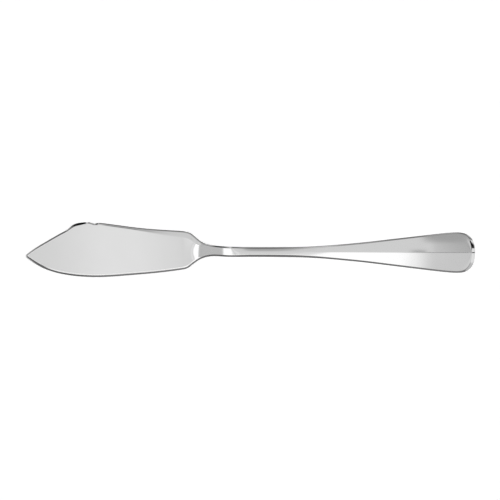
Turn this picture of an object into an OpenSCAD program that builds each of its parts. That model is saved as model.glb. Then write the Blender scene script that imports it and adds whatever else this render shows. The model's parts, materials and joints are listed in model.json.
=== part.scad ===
// Fish knife: one forging of polished stainless steel, drawn as its four zones. The blade, the
// neck, the stem and the handle meet face to face on flat sections.
// X runs from the tip to the end of the handle, Y points to the spine and Z is up.
// The knife lies on its back: the blade and the end of the handle touch the plane Z = 0.

/* [Blade] */
// Length of the blade, from its tip to the section where the neck starts
blade_l = 70; // [60:1:80]
// Distance from the tip to the top of the hump on the spine
hump_at = 27; // [24:0.5:30]
// Height of the hump over the axis of the handle
spine_rise = 13; // [11.5:0.1:14.5]
// Distance from the tip to the deepest place of the belly
belly_at = 31; // [28:0.5:34]
// Depth of the belly under the axis of the handle
belly_drop = 11.5; // [10.5:0.1:13]
// Height of the spine over the axis where the neck starts
heel_rise = 9.2; // [8.4:0.1:10]
// Depth of the cutting edge under the axis where the neck starts
heel_drop = 8; // [7.2:0.1:8.8]
// Depth of the tip under the axis
tip_drop = 2.2; // [1:0.1:3.5]
// Radius of the tip, seen from above
tip_r = 1.2; // [1.1:0.1:1.5]
// Distance from the tip to the middle of the small notch behind the hump
notch_at = 30.5; // [29:0.5:33]
// Width of the notch
notch_w = 4; // [3:0.1:5]
// Depth of the notch
notch_d = 0.55; // [0.3:0.05:0.8]
// Thickness along the middle of the blade, at the neck
heel_t = 1.7; // [1.5:0.05:2.1]
// Thickness along the middle of the blade, at the tip
tip_t = 1.2; // [1.1:0.05:1.5]
// How much thinner the blade is at the cutting edge than at the spine
blade_taper = 0.25; // [0.1:0.05:0.35]
// Width of the bevel inside the spine's rim where it is widest, by the neck
spine_bevel_w = 2.2; // [1.5:0.1:2.6]
// Depth of that bevel at the rim
spine_bevel_d = 0.5; // [0.2:0.05:0.55]
// Width of the bevel inside the rim of the cutting edge
edge_bevel_w = 0.4; // [0.2:0.05:0.7]
// Depth of that bevel at the rim
edge_bevel_d = 0.08; // [0.04:0.01:0.12]

/* [Neck] */
// Length of the neck, from the blade to the stem
neck_l = 22; // [19:0.5:26]
// Distance from the start of the neck to where its face begins to climb
climb_from = 3.4; // [2.4:0.1:5]
// Length of the climb of the face, which ends a little past the neck
climb_l = 22.3; // [20:0.1:24]

/* [Stem] */
// Length of the stem
stem_l = 32; // [26:1:40]
// Width of the stem
stem_w = 4.6; // [4.2:0.1:5.4]
// Thickness of the stem
stem_t = 3.6; // [3.2:0.1:4.2]
// Height of the back over the table at the start of the stem
stem_lift = 0.9; // [0.5:0.1:1.5]

/* [Handle] */
// Length of the handle, from the stem to its end
handle_l = 76; // [68:1:84]
// Largest width of the handle
handle_w = 18.2; // [16:0.1:21]
// Length of the rounded end, past the widest place
end_l = 8.7; // [7:0.1:10]
// Thickness of the handle on its ridge, at the end
handle_t = 2.4; // [2.1:0.1:3]
// Height of the ridge over the sides where the handle is widest
ridge_h = 0.85; // [0.5:0.05:0.95]
// Height of the back over the table at the top of the arch
arch_h = 2.8; // [2:0.1:4]
// Length of the handle that slopes down to the table
slope_l = 38; // [32:1:44]
// Length over which the handle bends into that slope
bend_l = 20; // [14:1:26]
// Distance from the end of the handle to the line where its back meets the table
touch_in = 1.2; // [0.8:0.1:2]

/* [Rims] */
// Width of the rounded rim round the face of the blade and the handle
rim_w = 0.8; // [0.6:0.05:0.9]
// Height of that rim
rim_h = 0.4; // [0.3:0.05:0.45]
// Radius of the rim round the back
back_rim_r = 0.3; // [0.25:0.05:0.35]
// How much the polishing takes off the back where it lies on the table
back_ground_d = 0.03; // [0.02:0.005:0.05]

/* [Hidden] */
steel = "#d8d8d8";

// Where the zones start, measured from the tip
neck_at = blade_l;
stem_at = neck_at + neck_l;
handle_at = stem_at + stem_l;
knife_l = handle_at + handle_l;
widest_at = knife_l - end_l;
stem_half = stem_w / 2;
handle_half = handle_w / 2;

// The outline in plan. Each point is a share of the length of its stretch and of its rise:
// first the point of the blade, from the tip to the hump, then the spine from the hump to the neck.
point_shares = [[0.08, 0.15], [0.17, 0.255], [0.37, 0.465], [0.52, 0.62], [0.63, 0.725],
    [0.67, 0.765], [0.715, 0.835], [0.765, 0.91], [0.82, 0.955], [0.89, 0.985], [1, 1]];
spine_shares = [[0.15, 0.92], [0.25, 0.79], [0.44, 0.505], [0.63, 0.265], [0.81, 0.125], [1, 0]];
// The cutting edge the same way: from the tip to the deepest place, then on to the neck
belly_shares = [[0.07, 0.235], [0.15, 0.405], [0.235, 0.56], [0.325, 0.68], [0.45, 0.805],
    [0.58, 0.89], [0.755, 0.965], [1, 1]];
edge_shares = [[0.18, 0.935], [0.385, 0.75], [0.59, 0.56], [0.8, 0.31], [1, 0]];
// The shoulders of the neck, from the width of the heel, 1, to the width of the stem, 0
neck_spine_shares = [[0.09, 0.945], [0.165, 0.855], [0.245, 0.65], [0.33, 0.415], [0.4, 0.275],
    [0.49, 0.17], [0.655, 0.075], [0.86, 0.02], [1, 0]];
neck_edge_shares = [[0.075, 0.93], [0.14, 0.79], [0.21, 0.56], [0.29, 0.34], [0.37, 0.16],
    [0.45, 0.045], [0.545, -0.035], [0.655, -0.06], [0.82, -0.02], [1, 0]];
// The flare of the handle, from the width of the stem, 0, to the widest place, 1. It starts
// this share of the stem's length before the handle.
flare_start_share = 0.4;
flare_shares = [[0, 0.022], [0.11, 0.086], [0.22, 0.188], [0.35, 0.328], [0.5, 0.527],
    [0.65, 0.727], [0.78, 0.9], [0.86, 0.985]];
// How square the rounded end of the handle is: 2 and 2 would make it an ellipse
end_power = 3.2;
end_root = 2.2;
// Share of that curve that is drawn. The rest is a short straight at the very end.
end_share = 0.995;

// Shares of the neck's length between which the face's rims widen to the stem's shoulders, and of
// the handle's length between which they narrow again while the ridge rises
rim_grow_shares = [1, 1.35];
rim_fade_shares = [-0.2, 0.2];
// Shares of the climb of the face over which it bends in, and over which it bends out again
climb_in_share = 0.18;
climb_out_share = 0.38;
// Shares of the neck's length between which the back climbs to the stem
back_climb_shares = [0.3, 1.1];
// Shares of the blade's length between which the spine's bevel sets in, and between which it
// grows from its start, shares of its full width and depth. It ends between two shares of the
// neck's length.
bevel_rise_shares = [0.435, 0.55];
bevel_grow_shares = [0.63, 1.085];
bevel_narrow_share = 0.15;
bevel_shallow_share = 0.4;
bevel_fade_shares = [0.15, 0.5];
// Share of the neck's length over which the taper and the bevel of the cutting edge end
blade_fade_share = 0.5;
// Share of the stem's half width that each of its shoulders takes
shoulder_share = 0.62;
// Shares of the stem's thickness that its shoulders drop, towards the spine and towards the edge
spine_drop_share = 0.26;
edge_drop_share = 0.19;
// How far the stem's face falls from its crest to the two shoulders, as shares of its thickness
spine_crown_share = 0.06;
edge_crown_share = 0.01;
// How much the handle's facets are domed: 0 would make them flat across
facet_dome_share = 0.6;
// Width of the step between the rim and the face where there is no bevel, as a share of the rim
step_share = 0.4;
// How far the rim and the bevel reach into the rounded tip, as shares of its radius
tip_rim_share = 0.5;
tip_bevel_share = 0.7;

// Angles of the sections round the tip, and of the one where its straight sides start
tip_angles = [12, 36];
tip_side_angle = 60;
// Angles of the points round the rim of the back and round the rim of the face
back_angles = [0, 40, 66, 90];
face_angles = [0, 22.5, 45, 67.5, 90];
// Angles of the sections round the end of the handle
end_angles = [15, 30, 42, 52, 61, 69, 76, 83, 90];
// Counts of sections: to the kink below the hump, over the hump and the notch, to the neck,
// over the shoulders, to the stem, along the stem and along the handle
point_n = 7;
hump_n = 24;
spine_n = 14;
shoulder_n = 14;
neck_n = 8;
stem_n = 10;
handle_n = 25;
// Place of the kink below the hump, as a share of the way to the hump
kink_share = 0.56;

// Points of a stretch from its shares: it starts at x, is l long and goes from y0 to y1
function stretch(shares, x, l, y0, y1) = [for (s = shares) [x + l * s[0], y0 + (y1 - y0) * s[1]]];

function tip_x(a) = tip_r * (cos(tip_angles[0]) - cos(a));
tip_l = tip_x(tip_side_angle);
tip_half = tip_r * sin(tip_side_angle);
flare_points = concat(
    [[handle_at - stem_l * flare_start_share, stem_half]],
    stretch(flare_shares, handle_at, handle_l, stem_half, handle_half),
    [[widest_at, handle_half], [knife_l, handle_half]]);
spine_points = concat(
    [[tip_l, tip_half - tip_drop]],
    stretch(point_shares, 0, hump_at, -tip_drop, spine_rise),
    stretch(spine_shares, hump_at, blade_l - hump_at, heel_rise, spine_rise),
    stretch(neck_spine_shares, neck_at, neck_l, stem_half, heel_rise),
    flare_points);
edge_points = concat(
    [[tip_l, -tip_half - tip_drop]],
    stretch(belly_shares, 0, belly_at, -tip_drop, -belly_drop),
    stretch(edge_shares, belly_at, blade_l - belly_at, -heel_drop, -belly_drop),
    stretch(neck_edge_shares, neck_at, neck_l, -stem_half, -heel_drop),
    [for (p = flare_points) [p[0], -p[1]]]);

// A smooth curve through points: cubic pieces, each point's slope that between its neighbours
function slope(p, i) = let (a = p[max(i - 1, 0)], b = p[min(i + 1, len(p) - 1)])
    (b[1] - a[1]) / (b[0] - a[0]);
function piece(p, x, i = 0) = i >= len(p) - 2 || x < p[i + 1][0] ? i : piece(p, x, i + 1);
function curve(p, x) = let (
    i = piece(p, x),
    h = p[i + 1][0] - p[i][0],
    t = (x - p[i][0]) / h,
    r = 1 - t)
    p[i][1] * r * r * (1 + 2 * t) + p[i + 1][1] * t * t * (1 + 2 * r)
    + h * t * r * (slope(p, i) * r - slope(p, i + 1) * t);

// A ramp from 0 to 1 that starts and ends level, and one between two shares of a length
function ease(from, to, x) = let (u = min(1, max(0, (x - from) / (to - from)))) u * u * (3 - 2 * u);
function ease_shares(shares, at, l, x) = ease(at + l * shares[0], at + l * shares[1], x);
// A level line that bends into a slope of 1 over a length
function bend(d, l) = d <= 0 ? 0 : d < l ? d * d / (2 * l) : d - l / 2;

// Half the width of the round tip and of the round end, and the depth of the notch
function tip_arc(x) = sqrt(max(0, tip_r * tip_r - pow(tip_r * cos(tip_angles[0]) - x, 2)));
function end_arc(x) = handle_half
    * pow(1 - pow(end_share * (x - widest_at) / end_l, end_power), 1 / end_root);
function notch(x) = let (u = 2 * (x - notch_at) / notch_w)
    abs(u) < 1 ? notch_d * pow(1 - u * u, 2) : 0;
// The outline's distance from the axis, on the side of the spine and on that of the cutting edge
function spine_y(x) = x < tip_l ? tip_arc(x) - tip_drop
    : x > widest_at ? end_arc(x)
    : curve(spine_points, x) - notch(x);
function edge_y(x) = x < tip_l ? -tip_arc(x) - tip_drop
    : x > widest_at ? -end_arc(x)
    : curve(edge_points, x);

// The side view: height of the back over the table, and thickness from the back to the crest
slope_at = knife_l - touch_in - slope_l;
end_slope = arch_h / bend(slope_l, bend_l);
climb_at = neck_at + climb_from;
climb_in_l = climb_l * climb_in_share;
climb_out_l = climb_l * climb_out_share;
climb_run = climb_l - (climb_in_l + climb_out_l) / 2;
function neck_lift(x) = stem_lift * ease_shares(back_climb_shares, neck_at, neck_l, x);
function back(x) = max(0, neck_lift(x)
    + (arch_h - stem_lift) * ease(stem_at, slope_at, x)
    - end_slope * bend(x - slope_at, bend_l)) - back_ground_d;
// The climb of the face, from 0 to 1: bent in, straight, and bent out
function climb(x) = (bend(x - climb_at, climb_in_l)
    - bend(x - climb_at - climb_l + climb_out_l, climb_out_l)) / climb_run;
function thick(x) = tip_t + (heel_t - tip_t) * min(1, x / blade_l)
    + (stem_t - heel_t + stem_lift) * climb(x) - neck_lift(x)
    - (stem_t - handle_t) * ease(stem_at, slope_at, x);

// How much of a blade, of a stem and of a handle the section is, from 0 to 1
function in_blade(x) = 1 - ease(neck_at, neck_at + neck_l * blade_fade_share, x);
function in_handle(x) = ease_shares(rim_fade_shares, handle_at, handle_l, x);
function in_stem(x) = ease_shares(rim_grow_shares, neck_at, neck_l, x) * (1 - in_handle(x));
// How far the bevel along the spine has set in, and how far it has grown from a start share
function beveled(x) = ease_shares(bevel_rise_shares, 0, blade_l, x)
    * (1 - ease_shares(bevel_fade_shares, neck_at, neck_l, x));
function grown(x, share) = mixed(share, 1, ease_shares(bevel_grow_shares, 0, blade_l, x));

// The rim of the face, and what lies inside it on each side: the width of the bevel or step,
// its depth, and the fall of the face from the crest down to it
function mixed(a, b, t) = a + (b - a) * t;
function face_rim_w(x) = x < tip_l ? tip_r * tip_rim_share
    : mixed(rim_w, stem_half * shoulder_share, in_stem(x));
function face_rim_h(x, side) = mixed(rim_h, stem_t * (side > 0 ? spine_drop_share : edge_drop_share),
    in_stem(x));
function step_w(x) = mixed(rim_w * step_share, stem_half * (1 - shoulder_share) / 2, in_stem(x));
function spine_step_w(x) = x < tip_l ? tip_r * (tip_bevel_share - tip_rim_share)
    : mixed(step_w(x), spine_bevel_w * grown(x, bevel_narrow_share), beveled(x));
function edge_step_w(x) = x < tip_l ? tip_r * (tip_bevel_share - tip_rim_share)
    : mixed(step_w(x), edge_bevel_w, in_blade(x));
function ridge(x) = let (out = spine_y(x) / handle_half)
    ridge_h * in_handle(x) * out * (1 + facet_dome_share * out) / (1 + facet_dome_share);
function spine_fall(x) = ridge(x) - blade_taper / 2 * in_blade(x)
    + stem_t * spine_crown_share * in_stem(x);
function edge_fall(x) = ridge(x) + blade_taper / 2 * in_blade(x)
    + stem_t * edge_crown_share * in_stem(x);

// The sections' places, from the tip to the end
function steps(from, to, n) = [for (k = [1:n]) from + (to - from) * k / n];
kink_at = hump_at * kink_share;
fine_to = notch_at + notch_w;
blade_xs = concat(
    [for (a = tip_angles) tip_x(a)],
    [tip_l],
    steps(tip_l, kink_at, point_n),
    steps(kink_at, fine_to, hump_n),
    steps(fine_to, neck_at, spine_n));
neck_xs = concat(
    steps(neck_at, neck_at + neck_l / 2, shoulder_n),
    steps(neck_at + neck_l / 2, stem_at, neck_n));
stem_xs = steps(stem_at, handle_at, stem_n);
handle_xs = concat(
    steps(handle_at, widest_at, handle_n),
    [for (a = end_angles) widest_at + end_l * sin(a)]);
xs = concat(blade_xs, neck_xs, stem_xs, handle_xs);
last_i = len(xs) - 1;
neck_i = len(blade_xs) - 1;
stem_i = neck_i + len(neck_xs);
handle_i = stem_i + len(stem_xs);

// The outline's point in section i on side 1, the spine, or -1, the cutting edge, and the
// direction outwards there. Past the first and the last section the outline turns back along the
// other side. Where two zones meet the direction is square to the axis, so that section is flat.
function outline(i, side) = i < 0 ? outline(0, -side)
    : i > last_i ? outline(last_i, -side)
    : [xs[i], side > 0 ? spine_y(xs[i]) : edge_y(xs[i])];
function outwards(i, side) = i == neck_i || i == stem_i || i == handle_i ? [0, side]
    : let (d = outline(i + 1, side) - outline(i - 1, side)) [-d[1], d[0]] * side / norm(d);

// A section's points on one side, from the back round the rim to the face
function raised(q, h) = [q[0], q[1], back(q[0]) + h];
function side_points(i, side, step, depth, fall) = let (
    x = xs[i],
    p = outline(i, side),
    out = outwards(i, side),
    inner = p - out * (face_rim_w(x) + step))
    concat(
        [for (a = back_angles)
            raised(p - out * back_rim_r * (1 - sin(a)), back_rim_r * (1 - cos(a)))],
        [for (a = face_angles) let (q = p - out * face_rim_w(x) * (1 - cos(a)))
            raised(q, thick(q[0]) - fall - depth - face_rim_h(x, side) * (1 - sin(a)))],
        [raised(inner, thick(inner[0]) - fall)]);
function section(i) = let (
    x = xs[i],
    spine_depth = spine_bevel_d * grown(x, bevel_shallow_share) * beveled(x),
    spine = side_points(i, 1, spine_step_w(x), spine_depth, spine_fall(x)),
    edge = side_points(i, -1, edge_step_w(x), edge_bevel_d * in_blade(x), edge_fall(x)),
    s = spine[side_n - 1],
    e = edge[side_n - 1],
    middle = (s + e) / 2,
    crest = raised(middle, thick(middle[0])))
    concat(spine, [(s + crest) / 2, crest, (e + crest) / 2], turned_list(edge));
function turned_list(list) = [for (k = [len(list) - 1:-1:0]) list[k]];

// A zone is a skin over a run of sections. Where it meets the next zone it ends in one flat face.
// An outer end is closed by a wall between its two sides, and its face by a fan of triangles.
side_n = len(back_angles) + len(face_angles) + 1;
ring_n = 2 * side_n + 3;
spine_j = side_n - 1;
crest_j = side_n + 1;
edge_j = side_n + 3;
function point(k, j) = k * ring_n + j % ring_n;
function turned(faces, flip) = flip ? [for (f = faces) turned_list(f)] : faces;
function cap(k, flip) = turned([[for (j = [0:ring_n - 1]) point(k, j)]], flip);
function wall(k, flip) = turned([for (j = [0:spine_j - 1])
    [for (v = [j, j + 1, ring_n - 2 - j, ring_n - 1 - j]) point(k, v)]], flip);
function fan(outer, inner, flip) = turned(concat(
    [for (j = [spine_j:crest_j - 1]) [point(outer, spine_j), point(inner, j), point(inner, j + 1)]],
    [[point(outer, spine_j), point(inner, crest_j), point(outer, edge_j)]],
    [for (j = [crest_j:edge_j - 1]) [point(outer, edge_j), point(inner, j), point(inner, j + 1)]]), flip);
function skin(k, open) = [for (j = [0:ring_n - 1]) if (!open || j < spine_j || j >= edge_j)
    [point(k, j), point(k + 1, j), point(k + 1, j + 1), point(k, j + 1)]];
module zone(from, to) {
    n = to - from;
    is_tip = from == 0;
    is_end = to == last_i;
    color(steel)
        translate([-knife_l / 2, (belly_drop - spine_rise) / 2, 0])
            difference() {
                polyhedron(
                    points = [for (i = [from:to]) each section(i)],
                    faces = concat(
                        is_tip ? concat(wall(0, false), fan(0, 1, false)) : cap(0, false),
                        [for (k = [0:n - 1]) each skin(k, (is_tip && k == 0) || (is_end && k == n - 1))],
                        is_end ? concat(wall(n, true), fan(n, n - 1, true)) : cap(n, true)));
                below_table();
            }
}

// What the polishing takes off where the knife lies on the table
module below_table() {
    translate([-knife_l / 2, -knife_l / 2, -knife_l])
        cube([2 * knife_l, knife_l, knife_l]);
}

module blade() {
    zone(0, neck_i);
}

module neck() {
    zone(neck_i, stem_i);
}

module stem() {
    zone(stem_i, handle_i);
}

module handle() {
    zone(handle_i, last_i);
}

blade();
neck();
stem();
handle();
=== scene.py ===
# %% [markdown]
# # A one-piece fish knife in polished stainless steel
# A fish knife is forged from one bar and then polished all over. It has no joints and no screws, so
# everything that the eye gets from it comes from two things: how its faces turn, and what they mirror.
# This lesson models the whole knife as one skin of four-sided faces, and then builds the small
# lightbox of a studio over it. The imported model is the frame: every place below is measured from it.

# %% The frame
import json
import math

import bmesh
import bpy
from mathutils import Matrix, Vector

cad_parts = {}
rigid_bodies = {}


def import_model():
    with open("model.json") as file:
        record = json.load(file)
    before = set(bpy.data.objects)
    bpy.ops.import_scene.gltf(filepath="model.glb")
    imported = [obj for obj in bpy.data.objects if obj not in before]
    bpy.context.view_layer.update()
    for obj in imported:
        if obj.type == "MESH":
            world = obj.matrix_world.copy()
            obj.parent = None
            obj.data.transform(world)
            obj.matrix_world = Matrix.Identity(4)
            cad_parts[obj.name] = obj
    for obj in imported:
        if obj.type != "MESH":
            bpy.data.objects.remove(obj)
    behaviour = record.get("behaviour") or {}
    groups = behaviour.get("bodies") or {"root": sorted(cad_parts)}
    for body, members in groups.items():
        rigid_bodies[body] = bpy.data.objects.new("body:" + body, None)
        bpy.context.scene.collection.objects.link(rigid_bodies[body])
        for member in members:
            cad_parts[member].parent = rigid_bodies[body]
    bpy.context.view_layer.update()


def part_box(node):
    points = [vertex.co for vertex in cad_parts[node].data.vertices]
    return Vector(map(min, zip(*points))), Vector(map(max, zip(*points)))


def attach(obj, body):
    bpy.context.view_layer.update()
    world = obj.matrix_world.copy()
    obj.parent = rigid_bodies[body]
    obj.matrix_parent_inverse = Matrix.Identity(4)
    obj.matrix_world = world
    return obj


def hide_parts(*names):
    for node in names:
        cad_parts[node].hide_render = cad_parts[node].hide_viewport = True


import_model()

mm = 0.001

# %% [markdown]
# ## Where the zones lie
# The frame holds the knife as its four zones. Their boxes say where the blade ends and the neck, the
# stem and the handle start, and how far the outline reaches on each side of the handle's axis. What
# follows counts lengths from the tip, as a cutler does, so the frame's X of the tip is taken off.

# %% Places and widths from the frame
blade_low, blade_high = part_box("blade")
neck_low, neck_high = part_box("neck")
stem_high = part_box("stem")[1]
handle_low, handle_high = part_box("handle")
tip_x = blade_low.x
neck_at = blade_high.x - tip_x
stem_at = neck_high.x - tip_x
handle_at = stem_high.x - tip_x
knife_l = handle_high.x - tip_x
neck_l, stem_l, handle_l = stem_at - neck_at, handle_at - stem_at, knife_l - handle_at
axis_y = (handle_low.y + handle_high.y) / 2
handle_half = (handle_high.y - handle_low.y) / 2
spine_rise, belly_drop = blade_high.y - axis_y, axis_y - blade_low.y
heel_rise, heel_drop = neck_high.y - axis_y, axis_y - neck_low.y
print("zones start at", [round(x / mm, 1) for x in (neck_at, stem_at, handle_at, knife_l)], "mm")

# %% [markdown]
# ## The outline
# Seen from above the blade is a leaf: a straight slant up to a hump, a small notch behind it, a spine
# that falls to the neck and a long round belly. The handle flares from the stem to a broad, squared
# round end. The outline could be traced over a picture, but then it would be only as good as the
# picture. Here each stretch is a short list of shares of its own length and rise, and a smooth curve
# runs through them, so that a stretch can be made longer without losing its character.

# %% Sizes of the blade's outline
print("spine rises", round(spine_rise / mm, 2), "mm, belly drops", round(belly_drop / mm, 2), "mm")
hump_at = 27 * mm
belly_at = 31 * mm
tip_drop = 2.2 * mm
tip_r = 1.2 * mm
notch_at, notch_w, notch_d = 30.5 * mm, 4 * mm, 0.55 * mm
point_shares = [(0.08, 0.15), (0.17, 0.255), (0.37, 0.465), (0.52, 0.62), (0.63, 0.725), (0.67, 0.765),
                (0.715, 0.835), (0.765, 0.91), (0.82, 0.955), (0.89, 0.985), (1, 1)]
spine_shares = [(0.15, 0.92), (0.25, 0.79), (0.44, 0.505), (0.63, 0.265), (0.81, 0.125), (1, 0)]
belly_shares = [(0.07, 0.235), (0.15, 0.405), (0.235, 0.56), (0.325, 0.68), (0.45, 0.805),
                (0.58, 0.89), (0.755, 0.965), (1, 1)]
edge_shares = [(0.18, 0.935), (0.385, 0.75), (0.59, 0.56), (0.8, 0.31), (1, 0)]

# %% Sizes of the neck, the stem and the handle in plan
stem_half = 2.3 * mm
end_l = 8.7 * mm
widest_at = knife_l - end_l
neck_spine_shares = [(0.09, 0.945), (0.165, 0.855), (0.245, 0.65), (0.33, 0.415), (0.4, 0.275),
                     (0.49, 0.17), (0.655, 0.075), (0.86, 0.02), (1, 0)]
neck_edge_shares = [(0.075, 0.93), (0.14, 0.79), (0.21, 0.56), (0.29, 0.34), (0.37, 0.16),
                    (0.45, 0.045), (0.545, -0.035), (0.655, -0.06), (0.82, -0.02), (1, 0)]
flare_start_share = 0.4
flare_shares = [(0, 0.022), (0.11, 0.086), (0.22, 0.188), (0.35, 0.328), (0.5, 0.527),
                (0.65, 0.727), (0.78, 0.9), (0.86, 0.985)]
end_power, end_root, end_share = 3.2, 2.2, 0.995
print("widest at", round(widest_at / mm, 1), "mm,", round(2 * handle_half / mm, 2), "mm wide")

# %% Curves and ramps
def stretch(shares, start, length, low, high):
    """The places of a stretch of the outline, from its shares of the length and of the rise."""
    return [(start + length * along, low + (high - low) * up) for along, up in shares]


def smooth_curve(places, x):
    """The height at x of a smooth curve through places, whose slopes come from their neighbours."""
    def slope(i):
        before, after = places[max(i - 1, 0)], places[min(i + 1, len(places) - 1)]
        return (after[1] - before[1]) / (after[0] - before[0])
    i = max(k for k in range(len(places) - 1) if k == 0 or places[k][0] <= x)
    (x0, y0), (x1, y1) = places[i], places[i + 1]
    t = (x - x0) / (x1 - x0)
    r = 1 - t
    bulge = (x1 - x0) * t * r * (slope(i) * r - slope(i + 1) * t)
    return y0 * r * r * (1 + 2 * t) + y1 * t * t * (1 + 2 * r) + bulge


def ease(start, stop, x):
    """A ramp from 0 to 1 that starts and ends level."""
    t = min(1, max(0, (x - start) / (stop - start)))
    return t * t * (3 - 2 * t)


# %% The two sides of the outline
tip_turn = 60
tip_side = math.radians(tip_turn)
tip_l = tip_r * (1 - math.cos(tip_side))
tip_half = tip_r * math.sin(tip_side)
flare = ([(handle_at - stem_l * flare_start_share, stem_half)]
         + stretch(flare_shares, handle_at, handle_l, stem_half, handle_half)
         + [(widest_at, handle_half), (knife_l, handle_half)])
spine_places = ([(tip_l, tip_half - tip_drop)]
                + stretch(point_shares, 0, hump_at, -tip_drop, spine_rise)
                + stretch(spine_shares, hump_at, neck_at - hump_at, heel_rise, spine_rise)
                + stretch(neck_spine_shares, neck_at, neck_l, stem_half, heel_rise)
                + flare)
edge_places = ([(tip_l, -tip_half - tip_drop)]
               + stretch(belly_shares, 0, belly_at, -tip_drop, -belly_drop)
               + stretch(edge_shares, belly_at, neck_at - belly_at, -heel_drop, -belly_drop)
               + stretch(neck_edge_shares, neck_at, neck_l, -stem_half, -heel_drop)
               + [(x, -y) for x, y in flare])


def end_half(x):
    """Half the width of the handle's rounded end, a squared ellipse."""
    return handle_half * (1 - (end_share * (x - widest_at) / end_l) ** end_power) ** (1 / end_root)


def notch(x):
    """How deep the notch behind the hump is at x."""
    u = 2 * (x - notch_at) / notch_w
    return notch_d * (1 - u * u) ** 2 if abs(u) < 1 else 0


def spine_y(x):
    """The outline's distance from the axis on the side of the spine."""
    return end_half(x) if x > widest_at else smooth_curve(spine_places, x) - notch(x)


def edge_y(x):
    """The outline's distance from the axis on the side of the cutting edge, below zero."""
    return -end_half(x) if x > widest_at else smooth_curve(edge_places, x)


print("widths at the zones' ends, mm:",
      [round((spine_y(x) - edge_y(x)) / mm, 2) for x in (neck_at, stem_at, handle_at, widest_at)])

# %% [markdown]
# ## How a polished piece is meshed
# A mirror shows every bump of a mesh, so the mesh has to flow as the metal does: rows that run along
# the knife and round its ends, crossed by short columns, with four corners to each face. Two columns
# lie closer where the outline turns faster. The rounded tip and the rounded end each close the rows
# with a short side of `across` faces.

# %% Where the columns stand
across = 8
kink_at, past_notch, past_shoulder = 15.1 * mm, 34.5 * mm, neck_at + neck_l / 2


def steps(start, stop, count):
    """Places from start to stop in even steps, without the first."""
    return [start + (stop - start) * k / count for k in range(1, count + 1)]


runs = [(tip_l, kink_at, 7), (kink_at, past_notch, 24), (past_notch, neck_at, 14),
        (neck_at, past_shoulder, 13), (past_shoulder, stem_at, 8), (stem_at, handle_at, 10),
        (handle_at, widest_at, 25)]
columns = [tip_l] + [x for run in runs for x in steps(*run)]
end_angles = [math.radians(a) for a in (15, 30, 42, 52, 61, 69, 76, 83, 90)]
columns += [widest_at + end_l * math.sin(a) for a in end_angles]

spine_side = [(x, spine_y(x)) for x in columns]
edge_side = [(x, edge_y(x)) for x in columns]
end_row = [(knife_l, spine_y(knife_l) * (1 - 2 * k / across)) for k in range(1, across)]
tip_angles = [tip_side * (2 * k / across - 1) for k in range(1, across)]
tip_row = [(tip_r * (1 - math.cos(a)), tip_r * math.sin(a) - tip_drop) for a in tip_angles]
outline = spine_side + end_row + edge_side[::-1] + tip_row
print("columns:", len(columns), "outline vertices:", len(outline))

# %% [markdown]
# ## Tracing the outline
# The skin starts as a small plane at the tip that is merged to one vertex. That vertex is extruded
# from place to place along the outline, as one does when tracing by hand, until it meets itself. The
# trace lies at the height where the rounded rim of the back ends, and F fills it with one face.

# %% Trace and fill
back_rim_r = 0.3 * mm
places = [Vector((tip_x + x, axis_y + y, back_rim_r)) for x, y in outline]
bpy.ops.object.select_all(action="DESELECT")
bpy.ops.mesh.primitive_plane_add(size=tip_r, location=places[0])
skin = bpy.context.object
skin.name = skin.data.name = "polished_knife"
bpy.ops.object.transform_apply(location=True, rotation=False, scale=False)
skin.data.attributes.new("row", "INT", "POINT")
skin.data.attributes.active = skin.data.attributes["row"]
bpy.ops.object.mode_set(mode="EDIT")
bpy.ops.mesh.select_mode(type="VERT")
bpy.ops.mesh.select_all(action="SELECT")
bpy.ops.mesh.merge(type="CENTER")
for here, there in zip(places, places[1:] + places[:1]):
    bpy.ops.mesh.extrude_region_move(TRANSFORM_OT_translate={"value": there - here})
bpy.ops.mesh.select_all(action="SELECT")
bpy.ops.mesh.remove_doubles(threshold=0.001 * mm)
bpy.ops.mesh.edge_face_add()
print("traced:", len(bmesh.from_edit_mesh(skin.data).verts), "vertices")

# %% [markdown]
# ## Walls and rims
# Extruding the filled trace gives the knife its thickness at the tip and the wall between back and
# face. The rim of the face is a quarter of an ellipse, and that of the back a quarter of a circle.
# The Bevel tool could round both, but it gives only round ones, of one size. Insets that follow the
# curve in steps give an ellipse, and each leaves a clean row of vertices, which gets its number here.
# Three more rows lie inside the rim of the face. The middle one is the line where the bevels meet the
# face, and its neighbours hold it crisp when the skin is subdivided.

# %% Sizes of the wall and the rims
tip_t = 1.2 * mm
rim_w, rim_h, rim_power = 0.8 * mm, 0.34 * mm, 1.5
corner_w, corner_h = 0.06 * mm, 0.08 * mm
face_shares = [0.0, 0.3, 0.6, 0.85, 1.0]
corner_in_share, corner_up_share = 0.25, 0.7
back_angles = [math.radians(a) for a in (30, 60, 90)]
step_w, hold_w = 0.24 * mm, 0.08 * mm
wall_h = tip_t - rim_h - corner_h - back_rim_r
rim_places = [(0, 0), (corner_w * corner_in_share, corner_h * corner_up_share)]
for share in face_shares:
    rim_places.append((corner_w + (rim_w - corner_w) * share,
                       corner_h + rim_h * (1 - (1 - share) ** rim_power)))
print("rows over the rim, mm:", [(round(w / mm, 2), round(h / mm, 2)) for w, h in rim_places])

# %% Numbers of the rows
# The trace is row 0. Rows count up from the top of the wall to the face, and down to the back.
WALL_TOP, RIM_END = 1, len(rim_places)
BEVEL_LINE = RIM_END + 2
FACE_EDGE, FACE, BACK = BEVEL_LINE + 1, BEVEL_LINE + 2, -1 - len(back_angles)
print("the face is row", FACE, "and the back row", BACK)


# %% Helpers that select, number and inset
def only(kind):
    """Sets the select mode and deselects everything."""
    bpy.ops.mesh.select_mode(type=kind)
    bpy.ops.mesh.select_all(action="DESELECT")


def mark(row):
    """Writes the number of a row of vertices into the attribute `row` of what is selected."""
    bpy.ops.mesh.attribute_set(value_int=row)


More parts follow.
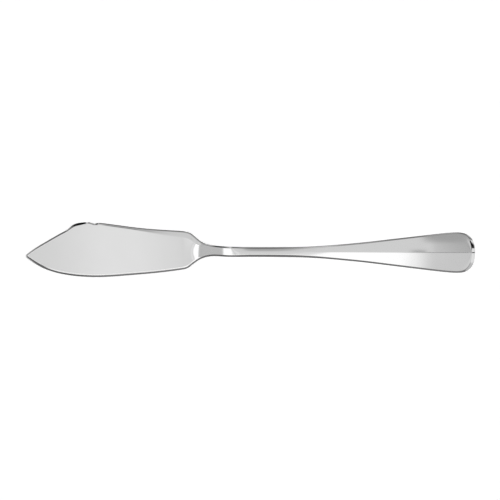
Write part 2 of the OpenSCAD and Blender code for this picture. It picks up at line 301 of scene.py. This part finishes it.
def inset(widths, depths, first_row, row_step):
    """Insets the selected face by steps of width and depth, and numbers the row that each leaves."""
    for k, (width, depth) in enumerate(zip(widths, depths)):
        bpy.ops.mesh.inset(thickness=width, depth=depth)
        mark(first_row + k * row_step)


def differences(values):
    """From each value to the next, starting from zero."""
    return [b - a for a, b in zip([0, *values], values)]


def select_flat_face(up):
    """Selects the large flat face that looks up, or down."""
    only("FACE")
    mesh = bmesh.from_edit_mesh(skin.data)
    face = max((f for f in mesh.faces if f.normal.z * up > 0.5), key=lambda f: f.calc_area())
    face.select = True
    bmesh.update_edit_mesh(skin.data)


# %% The wall
only("FACE")
bpy.ops.mesh.select_all(action="SELECT")
bpy.ops.mesh.extrude_region_move(TRANSFORM_OT_translate={"value": (0, 0, wall_h)})
mark(WALL_TOP)
bpy.ops.mesh.select_all(action="SELECT")
bpy.ops.mesh.normals_make_consistent(inside=False)
print("the wall is", round(wall_h / mm, 2), "mm high")

# %% The face's rim, and the three rows inside it
select_flat_face(1)
widths, heights = zip(*rim_places[1:])
inset(differences(widths), differences(heights), WALL_TOP + 1, 1)
inset([step_w - hold_w, hold_w, hold_w], [0, 0, 0], RIM_END + 1, 1)

# %% The back's rim the same way
select_flat_face(-1)
inset(differences([back_rim_r * (1 - math.cos(a)) for a in back_angles]),
      differences([back_rim_r * math.sin(a) for a in back_angles]), -1, -1)
print("both rims:", len(bmesh.from_edit_mesh(skin.data).verts), "vertices")

# %% [markdown]
# ## The face and the back
# Each of the two large faces still has hundreds of corners. It is deleted, and Grid Fill spans the
# hole with rows along the knife and columns across it, which is what a subdivision surface needs.
# The active vertex tells the tool where the short side of the grid starts.

# %% Grid fill
def fill_with_grid(up, row):
    """Replaces the large face that looks up, or down, by a grid of four-sided faces."""
    select_flat_face(up)
    bpy.ops.mesh.delete(type="ONLY_FACE")
    only("EDGE")
    bpy.ops.mesh.select_non_manifold(extend=False, use_wire=False, use_boundary=True,
                                     use_multi_face=False, use_non_contiguous=False, use_verts=False)
    mesh = bmesh.from_edit_mesh(skin.data)
    ring = [v for v in mesh.verts if v.select]
    corner = min(ring, key=lambda v: (v.co - places[0]).xy.length)
    mesh.select_history.clear()
    mesh.select_history.add(corner)
    bmesh.update_edit_mesh(skin.data)
    bpy.ops.mesh.fill_grid(span=across, offset=0, use_interp_simple=True)
    bpy.ops.mesh.select_less()
    mark(row)


fill_with_grid(1, FACE)
fill_with_grid(-1, BACK)
bpy.ops.mesh.select_all(action="SELECT")
bpy.ops.mesh.normals_make_consistent(inside=False)
bpy.ops.object.mode_set(mode="OBJECT")
print("cage:", len(skin.data.vertices), "vertices,",
      sum(len(f.vertices) != 4 for f in skin.data.polygons), "faces without four corners")

# %% [markdown]
# ## Weights that push
# So far the knife is a flat plate of one thickness. Its side view and its bevels are small, smooth
# changes, which lattices and proportional editing would only get roughly right. A Displace modifier
# with a vertex group is exact: the weight of each vertex says how far it goes, as if it were painted.
# Each push below is one such change, with its weights worked out from the vertex's place and row.

# %% The helpers that push
def displace(name, axis, reaches):
    """Displaces the skin along an axis. reaches is how far each vertex goes, in metres."""
    for sign in (1, -1):
        furthest = max(sign * reach for reach in reaches)
        if furthest > 0:
            group = skin.vertex_groups.new(name=name)
            for index, reach in enumerate(reaches):
                if sign * reach > 0:
                    group.add([index], sign * reach / furthest, "REPLACE")
            pusher = skin.modifiers.new(name, "DISPLACE")
            pusher.direction = axis
            pusher.mid_level = 0
            pusher.strength = sign * furthest
            pusher.vertex_group = group.name
            bpy.ops.object.modifier_apply(modifier=pusher.name)
            skin.vertex_groups.remove(skin.vertex_groups[name])
            print(name, "moves up to", round(sign * furthest / mm, 2), "mm along", axis)


def push(name, axis, reach_of):
    """Displaces the skin by a rule: reach_of(x, y, row) is how far a vertex goes, in metres."""
    rows = skin.data.attributes["row"].data
    displace(name, axis, [reach_of(v.co.x - tip_x, v.co.y - axis_y, rows[v.index].value)
                          for v in skin.data.vertices])


# %% [markdown]
# ## Straight columns
# Grid Fill bends its columns towards the ends of the knife. A mirror would show that as streaks, so
# each column is followed from edge to edge, and its vertices are spaced evenly on a straight line.

# %% Straighten both grids
def column_from(start, number, row):
    """The vertices of a grid's column from its start to its other end, or further along a row."""
    path = [start]
    ahead = [e for e in start.link_edges if e.other_vert(start)[number] == row]
    while ahead and len(path) <= across:
        path.append(ahead[0].other_vert(path[-1]))
        beside = set(ahead[0].link_faces)
        ahead = [e for e in path[-1].link_edges if not beside & set(e.link_faces)]
    return path


def straight_places(row, edge_row):
    """Where the vertices of a grid belong, by index."""
    grid = bmesh.new()
    grid.from_mesh(skin.data)
    number = grid.verts.layers.int["row"]
    belongs = {}
    for start in [v for v in grid.verts if v[number] == edge_row]:
        path = column_from(start, number, row)
        if len(path) == across + 1 and path[-1][number] == edge_row:
            for k in range(1, across):
                belongs[path[k].index] = start.co.lerp(path[-1].co, k / across)
    grid.free()
    return belongs


belongs = {**straight_places(FACE, FACE_EDGE), **straight_places(BACK, BACK + 1)}
for axis in "XY":
    displace("straight_columns", axis, [getattr(belongs.get(v.index, v.co) - v.co, axis.lower())
                                        for v in skin.data.vertices])
print("straightened:", len(belongs), "vertices")

# %% [markdown]
# ## Rows that crowd to the ridge
# Grid Fill spaces its rows evenly. The handle has a crisp ridge along its middle, so the rows of the
# face are drawn towards it. On the stem the rims widen to round shoulders, until the face is only a
# narrow strip between them, and along the spine the bevel line moves in to make room for the bevel.

# %% Sizes of the bevels and of the wide rims
shoulder_share, shoulder_h = 0.5, 0.6 * mm
crown_share, crown_h, crown_rim_h = 0.48, 1.0 * mm, 0.12 * mm
spine_bevel_w, spine_bevel_d = 2.2 * mm, 0.45 * mm
edge_bevel_w, edge_bevel_d = 0.4 * mm, 0.08 * mm
soft_w, bevel_start_l = 0.35 * mm, 4 * tip_r
hump_rim_at, hump_rim_l, hump_rim_w, hump_rim_h = 22.8 * mm, 3.2 * mm, 0.4 * mm, 0.26 * mm
end_rim_l, end_rim_w, end_rim_h = 10 * mm, 0.75 * mm, 0.35 * mm
inner = rim_w + step_w + hold_w
insets = {WALL_TOP: 0, FACE: inner, FACE_EDGE: inner, BEVEL_LINE: inner - hold_w,
          BEVEL_LINE - 1: inner - 2 * hold_w}
insets.update({WALL_TOP + k: place for k, (place, height) in enumerate(rim_places)})
print("the face starts", round(inner / mm, 2), "mm inside the outline")

# %% How much of a handle, of a stem and of a blade each place is
handle_ease_share, stem_full_share, blade_out_share = 0.2, 1.35, 0.5
bevel_full_share, grow_from_share, grow_to_share = 0.15, 0.63, 1.085
narrow_share, shallow_share = 0.15, 0.4


def in_handle(x):
    """From 0 on the stem to 1 on the handle."""
    return ease(handle_at - handle_ease_share * handle_l, handle_at + handle_ease_share * handle_l, x)


def in_stem(x):
    """From 0 on the neck to 1 on the stem, and back to 0 on the handle."""
    return ease(neck_at + neck_l, neck_at + stem_full_share * neck_l, x) * (1 - in_handle(x))


def in_blade(x):
    """From 1 on the blade to 0 on the neck."""
    return 1 - ease(neck_at, neck_at + blade_out_share * neck_l, x)


def beveled(x):
    """From 0 at the notch to 1 behind it, and back to 0 on the neck."""
    return (ease(past_notch - notch_w, past_notch + notch_w, x)
            * (1 - ease(neck_at + bevel_full_share * neck_l, neck_at + blade_out_share * neck_l, x)))


def grown(x, start_share):
    """How far the bevel along the spine has grown from its start, of a share, to its full size."""
    return start_share + (1 - start_share) * ease(grow_from_share * neck_at, grow_to_share * neck_at, x)


print("full bevel from", round(grow_to_share * neck_at / mm, 1), "mm behind the tip")

# %% Places across and at the two wide rims
end_full_share, deep_from_share, deep_full_share = 0.12, 0.45, 0.2


def middle_y(x):
    """The middle between the two sides of the outline."""
    return (spine_y(min(x, knife_l)) + edge_y(min(x, knife_l))) / 2 if x > tip_l else -tip_drop


def at_hump(x, y):
    """How far a place is inside the wide rim of the hump."""
    return math.exp(-((x - hump_rim_at) / hump_rim_l) ** 4) if y > 0 else 0


def at_end(x):
    """How far a place is inside the steep rim of the handle's end."""
    return ease(knife_l - deep_from_share * end_rim_l, knife_l - deep_full_share * end_rim_l, x)


def over_rim(row):
    """How far in a row lies, from 0 at the corner of the wall to 1 where the rim ends."""
    return min(1, max(0, insets[row] - corner_w) / (rim_w - corner_w))


def half_face(x):
    """Half the width of the face between its bevel lines."""
    if x < tip_l + inner or x > knife_l - inner:
        return 0
    return (spine_y(x) - edge_y(x)) / 2 - inner


# %% The rows of the face crowd to the ridge
def crowd(x, y, row):
    """Towards the ridge, as the square of the share of the way out."""
    half = half_face(x)
    off = y - middle_y(x)
    if row not in (FACE, BACK) or half <= 0 or abs(off) > half:
        return 0
    return math.copysign(half * (off / half) ** 2, off) - off


push("crowd", "Y", crowd)


# %% The rims widen on the stem and over the hump
def shoulders(x, y, row):
    """The lower rim widens on the stem and the upper one over the hump. The face makes room."""
    if row < WALL_TOP:
        return 0
    wider = (stem_half * shoulder_share - rim_w) * in_stem(x) * over_rim(row)
    half = half_face(x)
    way_down = 0.5 - 0.5 * max(-1, min(1, y / half)) if half > 0 else 0.5
    if row != FACE:
        way_down = 0 if y > 0 else 1
    return wider * way_down - hump_rim_w * over_rim(row) * at_hump(x, y) * (row != FACE)


push("shoulders", "Y", shoulders)


# %% The bevel lines move in
def bevel_widths(x, y, row):
    """The bevel lines move in, along the spine and a little along the cutting edge."""
    if row < BEVEL_LINE - 1:
        return 0
    off = y - middle_y(x)
    half = half_face(x)
    share = 1 if row != FACE else min(1, abs(off) / half) if half > 0 else 0
    if off > 0:
        soft = {BEVEL_LINE - 1: soft_w, BEVEL_LINE: 0}.get(row, -soft_w) * grown(x, narrow_share)
        return -(spine_bevel_w * grown(x, narrow_share) - step_w - soft) * beveled(x) * share
    return (edge_bevel_w - step_w) * in_blade(x) * ease(tip_l, tip_l + bevel_start_l, x) * share


push("bevel_widths", "Y", bevel_widths)


# %% The rim widens at the handle's end
def end_room(x, y, row):
    """The rim of the handle's end widens, and the face makes room."""
    if row < WALL_TOP:
        return 0
    near_end = ease(knife_l - end_rim_l, knife_l - end_full_share * end_rim_l, x)
    return -end_rim_w * over_rim(row) * near_end


push("end_room", "X", end_room)

# %% [markdown]
# ## Heights
# Now the side view. The blade gets thicker towards the neck and thinner towards its cutting edge. The
# face climbs along the neck to the thick stem, the back lifts off the table into a long shallow arch,
# and the handle bends down to the table again. Across the handle the face falls on both sides of the
# ridge, and the bevels and shoulders fall away at the rims.

# %% Sizes of the side view
heel_t, stem_t, handle_t = 1.7 * mm, 3.6 * mm, 2.4 * mm
climb_at, climb_end = neck_at + 3.4 * mm, neck_at + 25.7 * mm
climb_in_l, climb_out_l = 4 * mm, 8.5 * mm
crescent_half, crescent_share = 5 * mm, 0.75
stem_lift, arch_h = 0.9 * mm, 2.77 * mm
lift_from_share, lift_to_share = 0.3, 1.1
slope_l, bend_l, touch_in = 38 * mm, 20 * mm, 1.2 * mm
slope_at = knife_l - touch_in - slope_l
print("the handle bends down from", round(slope_at / mm, 1), "mm behind the tip")


# %% The side view
def bend(way, length):
    """A level line that bends over a length into a slope of one."""
    return 0 if way <= 0 else way * way / (2 * length) if way < length else way - length / 2


def climb(x, y):
    """The face's climb from the blade to the stem, from 0 to 1: bent in, straight, and bent out."""
    straight = climb_end - climb_out_l
    run = straight + climb_out_l / 2 - climb_at - climb_in_l / 2
    aside = min(1, (y / crescent_half) ** 2)
    later = climb_in_l * crescent_share * aside * (1 - ease(stem_at, handle_at, x))
    return (bend(x - climb_at - later, climb_in_l - later) - bend(x - straight, climb_out_l)) / run


def neck_lift(x):
    """How far the back has left the table on the neck."""
    return stem_lift * ease(neck_at + lift_from_share * neck_l, neck_at + lift_to_share * neck_l, x)


def back_height(x):
    """Height of the back over the table."""
    arch = (arch_h - stem_lift) * ease(stem_at, slope_at, x)
    bent_down = arch_h * bend(x - slope_at, bend_l) / bend(slope_l, bend_l)
    return max(0, neck_lift(x) + arch - bent_down)


def extra_thickness(x, y):
    """How much thicker the knife is than at the tip."""
    blade = (heel_t - tip_t) * min(1, x / neck_at)
    neck = (stem_t - heel_t + stem_lift) * climb(x, y) - neck_lift(x)
    return blade + neck - (stem_t - handle_t) * ease(stem_at, slope_at, x)


print("thickness over the tip's, mm:",
      [round(extra_thickness(x, 0) / mm, 2) for x in (neck_at, stem_at, handle_at, knife_l)])

push("thickness", "Z", lambda x, y, row: extra_thickness(x, y) if row >= WALL_TOP else 0)

# %% Sizes of what falls away from the crest
ridge_h, facet_crown_share = 0.85 * mm, 0.6
blade_taper = 0.25 * mm
look_l = 1 * mm
rim_outs = {WALL_TOP + k: min(1, (rim_w - place) / (rim_w - corner_w))
            for k, (place, height) in enumerate(rim_places)}
print("share of a wide rim's depth, row by row:", [round(out, 2) for out in rim_outs.values()])


# %% The face falls away from the ridge
def ridge_fall(x, y, row):
    """The handle's face falls away from its ridge, and the blade's to its cutting edge."""
    if row < WALL_TOP:
        return 0
    taper = blade_taper * in_blade(x) * (y - middle_y(neck_at)) / (spine_rise + belly_drop)
    out = abs(y) / handle_half
    crowned = max(0, y / stem_half + crown_share) / (1 + crown_share)
    facets = ridge_h * in_handle(x) * (out + facet_crown_share * out ** 2) / (1 + facet_crown_share)
    return taper - facets - crown_h * in_stem(x) * crowned ** 2


push("ridge_fall", "Z", ridge_fall)


# %% The rims fall away from the face
def rim_fall(x, y, row):
    """The rims lie lower by the depth of the bevels, and lower still on the stem and at wide rims."""
    upper = y > middle_y(x)
    turn = (spine_y(min(x + look_l, knife_l)) - spine_y(max(x - look_l, tip_l))) / (2 * look_l)
    upper_depth = spine_bevel_d * grown(x, shallow_share) * beveled(x) / math.hypot(1, turn)
    depth = upper_depth if upper else edge_bevel_d * in_blade(x)
    if row == BEVEL_LINE - 1:
        return -depth * soft_w / spine_bevel_w if upper else -depth * hold_w / edge_bevel_w
    if row < WALL_TOP or row > RIM_END:
        return 0
    out = rim_outs[row]
    drop = crown_rim_h if upper else shoulder_h
    wider_drop = (drop - rim_h) * in_stem(x) * out ** rim_power
    return -depth - wider_drop - (hump_rim_h * at_hump(x, y) + end_rim_h * at_end(x)) * out


push("rim_fall", "Z", rim_fall)

# %% Back and face rise together
push("back_height", "Z", lambda x, y, row: back_height(x))

# %% [markdown]
# ## Smooth at last
# Two levels of Subdivision Surface turn the cage into a skin whose faces are all under a millimetre
# long, and smooth shading does the rest.

# %% Subdivide and measure
subdivide = skin.modifiers.new("smooth", "SUBSURF")
subdivide.levels = subdivide.render_levels = 2
bpy.ops.object.modifier_apply(modifier=subdivide.name)
bpy.ops.object.shade_smooth()
mesh = skin.data
print("skin:", 2 * len(mesh.polygons), "triangles")
check = bmesh.new()
check.from_mesh(mesh)
highest = max(mesh.vertices, key=lambda v: v.co.z).co / mm
print("highest at x", round(highest.x, 1), "y", round(highest.y, 2), "z", round(highest.z, 3))
print("open edges:", sum(not e.is_manifold for e in check.edges),
      "volume mm3:", round(check.calc_volume(signed=True) / mm ** 3, 1))
check.free()

# %% [markdown]
# ## Polished stainless steel
# Table knives are made of chrome steel and buffed to a mirror on cloth wheels. The metal mirrors about
# three quarters of the light, without a tint. One grey and one roughness would look like plastic
# chrome, and a picture of scratches would repeat and stretch. So two noises of real sizes do it. One
# is drawn out along the knife and makes faint buffing lines, which are rougher than what lies between
# them. Real ones are finer than a hair, so they are drawn as wide as they need to be to show. The
# other noise is broad and clouds the grey a little.

# %% Colours and nodes
def linear(hex_code):
    """An sRGB hex colour as linear RGBA, which is what shader sockets hold."""
    parts = [int(hex_code[i:i + 2], 16) / 255 for i in (1, 3, 5)]
    return [c / 12.92 if c <= 0.04045 else ((c + 0.055) / 1.055) ** 2.4 for c in parts] + [1]


def node(tree, kind, settings=None, inputs=None):
    """Adds a node. Each input gets a value, a link from a socket, or one from a node's first output."""
    made = tree.nodes.new(kind)
    for name, value in (settings or {}).items():
        setattr(made, name, value)
    for name, value in (inputs or {}).items():
        source = value.outputs[0] if isinstance(value, bpy.types.Node) else value
        if isinstance(source, bpy.types.NodeSocket):
            tree.links.new(source, made.inputs[name])
        else:
            made.inputs[name].default_value = source
    return made


# %% The steel
line_w, line_l, haze_w = 0.35 * mm, 30 * mm, 14 * mm
mirror_rough, line_rough = 0.05, 0.09
darker_steel, lighter_steel = linear("#E2E2E2"), linear("#E8E8E8")

steel = bpy.data.materials.new("polished_stainless_steel")
steel.use_nodes = True
tree = steel.node_tree
shader = tree.nodes["Principled BSDF"]
shader.inputs["Metallic"].default_value = 1
here = node(tree, "ShaderNodeTexCoord").outputs["Object"]
along = node(tree, "ShaderNodeMapping", {},
             {"Vector": here, "Scale": (1 / line_l, 1 / line_w, 1 / line_w)})
lines = node(tree, "ShaderNodeTexNoise", {},
             {"Vector": along, "Scale": 1, "Detail": 3, "Roughness": 0.6})
gloss = node(tree, "ShaderNodeMapRange", {},
             {"Value": lines, "To Min": mirror_rough, "To Max": line_rough})
haze = node(tree, "ShaderNodeTexNoise", {}, {"Vector": here, "Scale": 1 / haze_w, "Detail": 2})
tone = node(tree, "ShaderNodeValToRGB", {}, {"Fac": haze})
tone.color_ramp.elements[0].color = darker_steel
tone.color_ramp.elements[1].color = lighter_steel
tree.links.new(gloss.outputs["Result"], shader.inputs["Roughness"])
tree.links.new(tone.outputs["Color"], shader.inputs["Base Color"])
mesh.materials.clear()
mesh.materials.append(steel)
print("the steel mirrors", [round(grey[0], 2) for grey in (darker_steel, lighter_steel)])

# %% [markdown]
# ## One skin for four zones
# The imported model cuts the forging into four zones, so that each can be changed apart. Dressed one by
# one they would show three cuts in the mirror. So this one skin stands for all four, and as nothing on
# the knife moves, it rides on the knife's only body.

# %% What the skin stands for
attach(skin, "root")
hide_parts("blade", "neck", "stem", "handle")

# %% [markdown]
# ## The table
# The knife lies on a pale sweep: a round floor whose rim curves up, so that no view sees its end. It
# could be a plane under a lamp, but a plane ends, and a lamp strong enough to turn paper white would
# bleach the steel. So the paper is matt, and it glows a little for the rays that see or mirror it. The
# rays that only carry light from it to the knife find plain paper. What light it takes from the room
# is missing under the knife, which leaves a soft faint shadow.

# %% The sweep
floor_r, sweep_r, rim_up, foot_share = 2.8, 4.0, 0.6, 0.2
round_sides = 96
bpy.ops.object.select_all(action="DESELECT")
bpy.ops.mesh.primitive_circle_add(vertices=round_sides, radius=floor_r, fill_type="NOTHING")
sweep = bpy.context.object
sweep.name = sweep.data.name = "sweep"
bpy.ops.object.mode_set(mode="EDIT")
bpy.ops.mesh.select_mode(type="EDGE")
bpy.ops.mesh.select_all(action="SELECT")
bpy.ops.mesh.extrude_region_move(TRANSFORM_OT_translate={"value": (0, 0, rim_up * foot_share)})
widen = sweep_r / floor_r
bpy.ops.transform.resize(value=(widen, widen, 1), center_override=(0, 0, rim_up * foot_share))
bpy.ops.mesh.extrude_region_move(TRANSFORM_OT_translate={"value": (0, 0, rim_up * (1 - foot_share))})
only("EDGE")
floor_mesh = bmesh.from_edit_mesh(sweep.data)
for edge in floor_mesh.edges:
    edge.select = all(abs(v.co.z) < mm for v in edge.verts)
bmesh.update_edit_mesh(sweep.data)
bpy.ops.mesh.edge_face_add()
bpy.ops.mesh.select_all(action="SELECT")
bpy.ops.mesh.normals_make_consistent(inside=True)
bpy.ops.object.mode_set(mode="OBJECT")
print("sweep:", len(sweep.data.polygons), "faces, the floor's normal points up:",
      sweep.data.polygons[-1].normal.z > 0)

# %% The paper
paper_glow = 0.61
paper = bpy.data.materials.new("pale_paper_sweep")
paper.use_nodes = True
tree = paper.node_tree
tree.nodes.clear()
rays = node(tree, "ShaderNodeLightPath").outputs
seen = node(tree, "ShaderNodeMath", {"operation": "MAXIMUM"},
            {0: rays["Is Camera Ray"], 1: rays["Is Glossy Ray"]})
seen = node(tree, "ShaderNodeMath", {"operation": "MAXIMUM"}, {0: seen, 1: rays["Is Transmission Ray"]})
strength = node(tree, "ShaderNodeMath", {"operation": "MULTIPLY"}, {0: seen, 1: paper_glow})
glow = node(tree, "ShaderNodeEmission", {}, {"Color": linear("#FFFFFF"), "Strength": strength})
matt = node(tree, "ShaderNodeBsdfDiffuse", {}, {"Color": linear("#F2F2F2")})
both = node(tree, "ShaderNodeAddShader", {}, {0: glow, 1: matt})
node(tree, "ShaderNodeOutputMaterial", {}, {"Surface": both})
sweep.data.materials.append(paper)
print("paper glows with", paper_glow, "of white")

# %% [markdown]
# ## The room that the steel mirrors
# Polished steel has hardly a look of its own: what shows on it is the room, bent by its faces, so half
# of the likeness is the room. A photograph of a studio could be wrapped round the scene, but this
# script takes no pictures. Lamps and black cards on stands would do, but each would light the floor
# too. Here the world's shader holds them. A dim room comes first, and then soft-edged cards are laid
# over it and over each other, each of one level of light, as paper is laid on paper.
#
# A card's place is given as on a studio's plan. `across_x` is how far along the knife it hangs for
# each metre of height, above zero on the handle's side, and `across_y` how far towards the spine. A
# face that leans by 10 degrees mirrors what hangs 20 degrees off the zenith, at 0.36. Each edge of a
# card goes from where it is clear to where it is full.

# %% Where a ray of the room goes
horizon_up = 0.02
world = bpy.data.worlds.new("lightbox")
bpy.context.scene.world = world
world.use_nodes = True
tree = world.node_tree
tree.nodes.clear()
way = node(tree, "ShaderNodeTexCoord").outputs["Generated"]
parts = node(tree, "ShaderNodeSeparateXYZ", {}, {"Vector": way}).outputs
rise = node(tree, "ShaderNodeMath", {"operation": "MAXIMUM"}, {0: parts["Z"], 1: horizon_up})
across_x = node(tree, "ShaderNodeMath", {"operation": "DIVIDE"}, {0: parts["X"], 1: rise})
across_y = node(tree, "ShaderNodeMath", {"operation": "DIVIDE"}, {0: parts["Y"], 1: rise})
print("a ray's place on the plan comes from", [part.name for part in parts])

# %% Places measured in other ways
slant_share = 0.35
y_squared = node(tree, "ShaderNodeMath", {"operation": "MULTIPLY"}, {0: across_y, 1: across_y})
squares = node(tree, "ShaderNodeMath", {"operation": "MULTIPLY_ADD"},
               {0: across_x, 1: across_x, 2: y_squared})
off_zenith = node(tree, "ShaderNodeMath", {"operation": "SQRT"}, {0: squares})
x_per_y = node(tree, "ShaderNodeMath", {"operation": "DIVIDE"}, {0: across_x, 1: across_y})
y_per_x = node(tree, "ShaderNodeMath", {"operation": "DIVIDE"}, {0: across_y, 1: across_x})
y_per_x_squared = node(tree, "ShaderNodeMath", {"operation": "MULTIPLY"}, {0: y_per_x, 1: y_per_x})
slanted = node(tree, "ShaderNodeMath", {"operation": "MULTIPLY_ADD"},
               {0: across_y, 1: slant_share, 2: across_x})
print("the wall behind the spine starts on a line", round(math.degrees(math.atan(slant_share))),
      "degrees off the Y axis")


# %% The helper that lays cards
def lay(what, below, cards):
    """Lays cards over what is below them. A card is its level of light and then its soft edges."""
    for level, *edges in cards:
        mask = 1
        for place, clear, full in edges:
            edge = node(tree, "ShaderNodeMapRange", {"interpolation_type": "SMOOTHSTEP"},
                        {"Value": place, "From Min": clear, "From Max": full})
            mask = node(tree, "ShaderNodeMath", {"operation": "MULTIPLY"}, {0: mask, 1: edge})
        below = node(tree, "ShaderNodeMix", {"data_type": "FLOAT"},
                     {"Factor": mask, "A": below, "B": level})
    print(what + ":", [card[0] for card in cards])
    return below


# %% The dim room and its walls
clutter_scale, clutter_low, clutter_high = 1.4, 0.35, 0.65
dimmest, brightest = 0.1, 0.26
clutter = node(tree, "ShaderNodeTexNoise", {}, {"Vector": way, "Scale": clutter_scale, "Detail": 1})
room = node(tree, "ShaderNodeMapRange", {},
            {"Value": clutter, "From Min": clutter_low, "From Max": clutter_high,
             "To Min": dimmest, "To Max": brightest})
# The foot of the walls all round, and the two ends of the room.
light = lay("walls", room, [
    (0.5, (off_zenith, 2.9, 4.3)),
    (0.62, (off_zenith, 1.1, 1.7), (y_per_x_squared, 2.2, 1.2)),
])

# %% What the rims along the spine mirror
behind = (across_y, 0.0, 0.1)
right_of_line = (slanted, -0.06, 0.04)
# A wall behind the spine that gets paler towards the ceiling.
light = lay("behind the spine", light, [
    (0.2, behind, (across_y, 3.5, 1.7), right_of_line),
    (0.5, behind, (across_y, 1.4, 0.75), right_of_line),
    (0.74, behind, (across_y, 0.75, 0.42), right_of_line),
])
# A pale card for the neck's upper rim, and the black one that draws the crescent on the hump.
light = lay("neck's rim and hump", light, [
    (0.78, (across_y, 0.2, 0.4), (across_y, 2.6, 2.0), (across_x, -0.4, -0.32),
     (across_x, -0.08, -0.14)),
    (0.01, (across_y, 0.55, 0.75), (across_y, 2.4, 2.1), (x_per_y, -0.6, -0.52),
     (x_per_y, -0.16, -0.24)),
])

# %% What the broad faces mirror
# The grey card for the climbing neck, and the ceiling over the flat blade.
light = lay("neck and blade", light, [
    (0.585, (across_x, -0.3, -0.36), (across_x, -1.0, -0.7), (across_y, -0.45, -0.3),
     (across_y, 0.6, 0.4)),
    (0.9, (off_zenith, 0.28, 0.1)),
])
# The handle's upper facet, and the lower one: dim near the handle's end and bright along the rest.
light = lay("handle", light, [
    (0.78, (across_y, 0.05, 0.1), (across_y, 0.35, 0.28), (across_x, -0.06, -0.02),
     (across_x, 0.5, 0.35)),
    (0.6, (across_x, 0.1, 0.2), (across_y, -0.5, -0.42), (across_y, 0.02, -0.05), (across_x, 1.0, 0.6)),
    (1.3, (across_y, -0.04, -0.12), (across_y, -0.5, -0.42), (across_x, 0.345, 0.1),
     (across_x, -0.3, -0.2)),
])
# The bright bands before and behind the neck's grey facet.
light = lay("neck's bands", light, [
    (1.3, (across_x, -0.1, -0.15), (across_x, -0.355, -0.32), (across_y, 0.3, 0.15),
     (across_y, -0.42, -0.3)),
])

# %% What draws the small marks
# The dark patches at the end of the upper facet, and the short line beside the ridge.
light = lay("upper facet", light, [
    (0.4, (across_x, 0.2, 0.26), (across_y, 0.19, 0.215), (across_x, 0.6, 0.5)),
    (0.45, (across_x, 0.268, 0.29), (across_y, 0.0, 0.05), (across_y, 0.35, 0.3), (across_x, 0.6, 0.5)),
    (0.5, (across_x, 0.14, 0.2), (across_x, 0.25, 0.23), (across_y, 0.05, 0.1),
     (across_y, 0.145, 0.135)),
])
# The pale rim of the handle's end, with its two black marks.
pale_end = [(across_x, 0.36, 0.46), (across_x, 3.4, 2.6)]
dark_end = [(across_x, 0.34, 0.4), (across_x, 2.2, 1.8)]
light = lay("handle's end", light, [
    (0.92, (y_per_x, -0.5, -0.4), (y_per_x, 0.62, 0.52), *pale_end),
    (0.01, (y_per_x, 0.23, 0.26), (y_per_x, 0.58, 0.52), *dark_end),
    (0.01, (y_per_x, -0.08, -0.06), (y_per_x, 0.1, 0.08), *dark_end),
])
# The faint halo where the blade starts to climb.
middle = [(across_y, 0.12, 0.06), (across_y, -0.1, -0.04)]
light = lay("blade's halo", light, [
    (0.775, (across_x, -0.014, -0.03), (across_x, -0.052, -0.038), *middle),
    (0.96, (across_x, -0.042, -0.058), (across_x, -0.09, -0.062), *middle),
    (0.76, (across_x, -0.074, -0.092), (across_x, -0.115, -0.1), *middle),
])

# %% The finished room
shine = node(tree, "ShaderNodeBackground", {}, {"Color": linear("#FFFFFF"), "Strength": light})
node(tree, "ShaderNodeOutputWorld", {}, {"Surface": shine})
print("the room has", len(tree.nodes), "nodes")

# %% [markdown]
# ## The camera
# The photograph looks straight down from so far away that the knife shows hardly any perspective. An
# orthographic camera would show none at all. A long lens from 1.2 metres up is what a photographer
# would use, and it is turned and moved by a hair, until the outline lies where the photograph has it.

# %% Camera
camera_up, view_w, sensor_w = 1.2, 222.7 * mm, 36
aside_x, aside_y, camera_turn = -0.16 * mm, 0.09 * mm, math.radians(0.2)
bpy.ops.object.camera_add(location=(aside_x, aside_y, camera_up), rotation=(0, 0, camera_turn))
camera = bpy.context.object
camera.data.sensor_width = sensor_w
camera.data.lens = camera.data.sensor_width * camera_up / view_w
bpy.context.scene.camera = camera
bpy.context.scene.view_settings.view_transform = "Standard"
print("lens:", round(camera.data.lens, 1), "mm")
